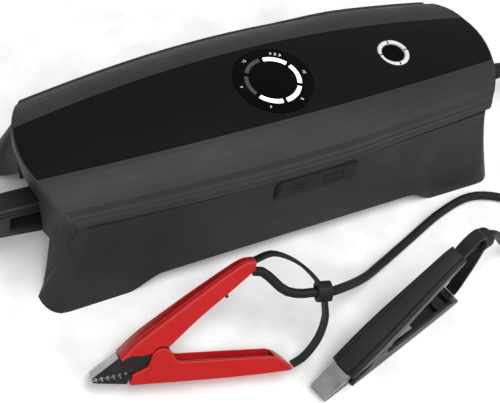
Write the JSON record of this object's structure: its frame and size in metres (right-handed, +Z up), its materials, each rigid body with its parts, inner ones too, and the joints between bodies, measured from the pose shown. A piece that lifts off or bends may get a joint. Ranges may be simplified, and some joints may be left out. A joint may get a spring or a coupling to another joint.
{
  "type": "car battery charger",
  "caption": "Portable car battery charger with a bridge-shaped case, round charge display, start button, USB flap, a coiled lead and two sprung clamps.",
  "frame": {"origin": "on the surface it stands on, under the middle of the case", "axes": "X along the case towards the cable's end, the USB flap faces -Y, Z up"},
  "size_m": [0.4182, 0.1855, 0.0706],
  "materials": {
    "case": "matte charcoal moulding",
    "shell": "satin charcoal moulding",
    "panel": "satin black insert",
    "lens": "gloss black window",
    "light": "white translucent",
    "rubber": "matte black",
    "black": "fine grained black",
    "red": "satin red",
    "chrome": "plated steel",
    "steel": "bright steel",
    "board": "green solder mask",
    "cell": "shrink sleeve",
    "copper": "wound copper",
    "aluminium": "extruded"
  },
  "bodies": {
    "body": {"base_cover": "black", "battery_cell_1": "cell", "battery_cell_2": "cell", "battery_cell_3": "cell", "battery_cell_4": "cell", "black_lead": "rubber", "black_pivot_pin": "steel", "black_spring": "steel", "black_strap": "rubber", "black_upper_handle": "black", "black_upper_jaw": "chrome", "button_ring": "light", "cable_boot": "rubber", "cable_splitter": "rubber", "capacitor": "black", "case_screw_1": "steel", "case_screw_2": "steel", "case_screw_3": "steel", "case_screw_4": "steel", "choke": "copper", "dc_cable": "rubber", "dc_cable_coil": "rubber", "dc_cable_tail": "rubber", "display_board": "board", "display_lens": "lens", "foot_insert_front_left": "rubber", "foot_insert_front_right": "rubber", "foot_insert_rear_left": "rubber", "foot_insert_rear_right": "rubber", "heat_sink": "aluminium", "input_housing": "black", "input_socket": "steel", "light_segment_1": "light", "light_segment_2": "light", "light_segment_3": "light", "light_segment_4": "light", "light_segment_5": "light", "light_segment_6": "light", "lower_case": "case", "main_board": "board", "red_lead": "rubber", "red_pivot_pin": "steel", "red_spring": "steel", "red_strap": "rubber", "red_upper_handle": "red", "red_upper_jaw": "chrome", "tact_switch": "black", "top_panel": "panel", "upper_shell": "shell", "usb_a_port": "steel", "usb_bezel": "black", "usb_c_port": "steel"},
    "start_button": {"button_cap": "panel"},
    "flap": {"usb_flap": "rubber"},
    "red_lower_grip": {"red_lower_handle": "red", "red_lower_jaw": "chrome"},
    "black_lower_grip": {"black_lower_handle": "black", "black_lower_jaw": "chrome"}
  },
  "joints": [
    {"name": "button_press", "type": "slide", "parent": "body", "child": "start_button", "axis": [0, 0, -1], "range_m": [0, 0.001], "stiffness_N_per_m": 250, "springref_m": -0.0005},
    {"name": "flap_hinge", "type": "hinge", "parent": "body", "child": "flap", "pos_m": [0.0287, -0.04595, 0.04567], "axis": [0, 0.1132, 0.9936], "range_deg": [0, 130]},
    {"name": "red_clamp_pivot", "type": "hinge", "parent": "body", "child": "red_lower_grip", "pos_m": [-0.09118, -0.09139, 0.01311], "axis": [-0.1945, -0.6799, 0.7071], "range_deg": [0, 26], "stiffness_Nm_per_rad": 0.4, "springref_deg": -11.46, "deforming": ["red_spring"]},
    {"name": "black_clamp_pivot", "type": "hinge", "parent": "body", "child": "black_lower_grip", "pos_m": [0.00418, -0.12185, 0.0115], "axis": [0.2756, -0.9613, 0], "range_deg": [0, 26], "stiffness_Nm_per_rad": 0.4, "springref_deg": -11.46, "deforming": ["black_spring"]}
  ]
}
